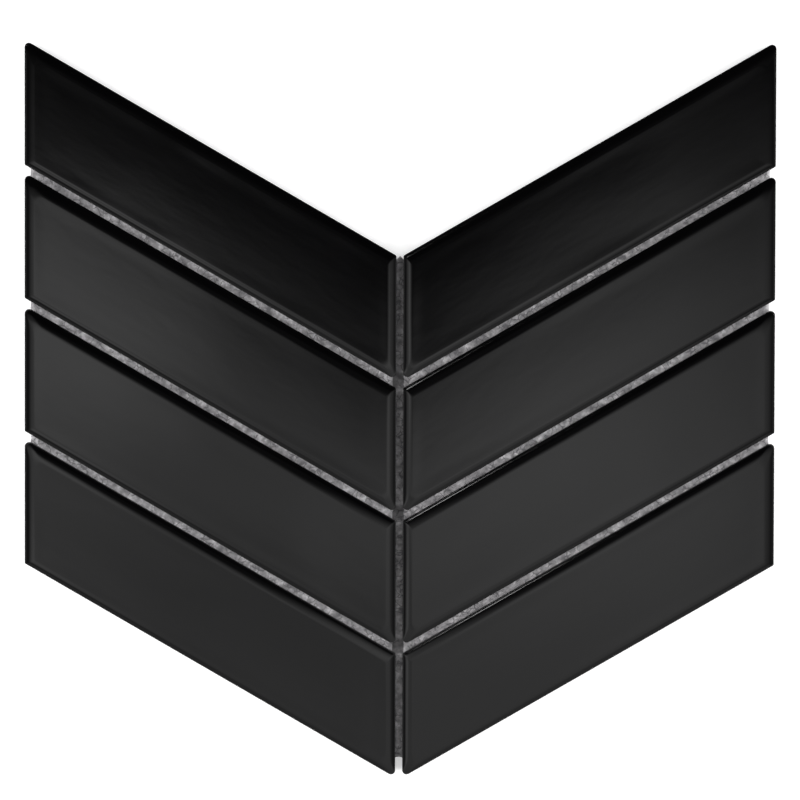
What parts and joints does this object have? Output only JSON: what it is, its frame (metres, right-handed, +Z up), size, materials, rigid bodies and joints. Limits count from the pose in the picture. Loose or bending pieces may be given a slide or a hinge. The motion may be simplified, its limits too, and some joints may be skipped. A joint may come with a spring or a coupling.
{
  "type": "chevron mosaic tile sheet",
  "caption": "Chevron mosaic sheet: glossy black cushion-edged parallelogram tiles in mirrored columns, glued to a thin grey fibre backing for bonding to a wall.",
  "frame": {"origin": "centre of the sheet's outline, on the underside of the backing", "axes": "+Z up out of the glazed face, +X across the columns to the right, +Y towards the open side of the V"},
  "size_m": [0.264, 0.2582, 0.0066],
  "materials": {
    "black_glaze": "gloss",
    "fibre_backing": "matte"
  },
  "bodies": {
    "root": {"tile_left_1": "black_glaze", "tile_left_2": "black_glaze", "tile_left_3": "black_glaze", "tile_left_4": "black_glaze", "tile_right_1": "black_glaze", "tile_right_2": "black_glaze", "tile_right_3": "black_glaze", "tile_right_4": "black_glaze", "backing_sheet": "fibre_backing"}
  },
  "joints": []
}
